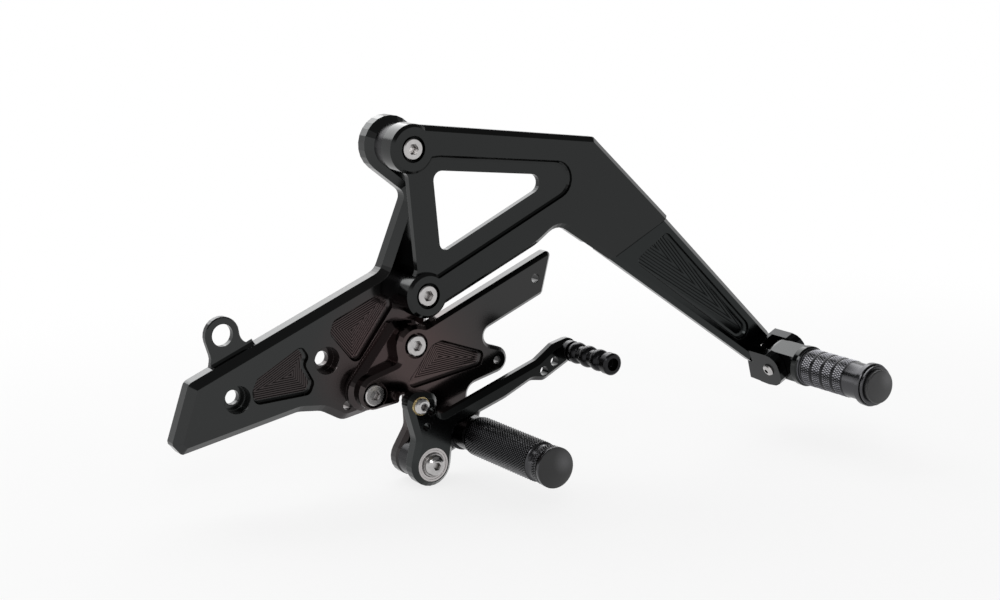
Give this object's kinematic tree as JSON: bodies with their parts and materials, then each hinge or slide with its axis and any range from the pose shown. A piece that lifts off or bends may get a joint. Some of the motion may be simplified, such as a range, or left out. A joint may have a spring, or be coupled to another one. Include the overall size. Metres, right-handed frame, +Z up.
{
  "type": "rear sets footrest",
  "caption": "Footrest assembly for a motorbike: bolt-on plate with heel guard, rider's peg, shift lever with toe peg, and a bracket with a folding passenger peg.",
  "frame": {"origin": "on the axis of the front frame hole, in the plane of the main plate's frame side", "axes": "+X rearwards along the plates, -Y outwards away from the frame, +Z up"},
  "size_m": [0.4444, 0.1455, 0.2222],
  "materials": {
    "black_plate": "black anodised, satin",
    "black_bracket": "black anodised, satin",
    "black_lever": "black anodised, satin",
    "black_turned": "black anodised, turned",
    "black_knurl": "black anodised, knurled",
    "cap_black": "satin",
    "seal_black": "matt",
    "stainless": "polished",
    "bearing_steel": "ground",
    "gold_washer": "yellow zinc"
  },
  "bodies": {
    "frame_side": {"main_plate": "black_plate", "front_plate": "black_plate", "passenger_bracket": "black_bracket", "passenger_arm": "black_bracket", "upper_spacer": "black_turned", "lower_spacer": "black_turned", "bracket_bolts": "stainless", "plate_bolts": "stainless", "arm_screws": "stainless", "bearing_inner_ring": "bearing_steel", "pivot_bushing": "black_turned", "pivot_washer": "stainless", "pivot_screw": "stainless", "rider_peg_base": "black_turned", "rider_peg_barrel": "black_knurl", "rider_peg_cap": "cap_black", "rider_peg_bolt": "stainless", "passenger_clevis": "black_bracket", "clevis_bolt": "stainless", "hinge_pin": "stainless", "hinge_clip": "stainless"},
    "lever": {"shift_lever": "black_lever", "bearing_outer_ring": "bearing_steel", "bearing_balls": "bearing_steel", "bearing_shield": "seal_black", "linkage_washer": "gold_washer", "linkage_screw": "stainless", "toe_peg": "black_turned", "toe_peg_screw": "stainless"},
    "passenger_peg": {"passenger_peg_tang": "black_turned", "passenger_peg_sleeve": "black_knurl", "passenger_peg_cap": "cap_black", "passenger_peg_screw": "stainless"}
  },
  "joints": [
    {"name": "lever_pivot", "type": "hinge", "parent": "frame_side", "child": "lever", "pos_m": [0.1112, -0.0442, -0.0484], "axis": [0, -1, 0], "range_deg": [-3, 6]},
    {"name": "passenger_peg_fold", "type": "hinge", "parent": "frame_side", "child": "passenger_peg", "pos_m": [0.386, -0.0505, -0.018], "axis": [0.8846, 0, 0.4664], "range_deg": [-90, 0]}
  ]
}
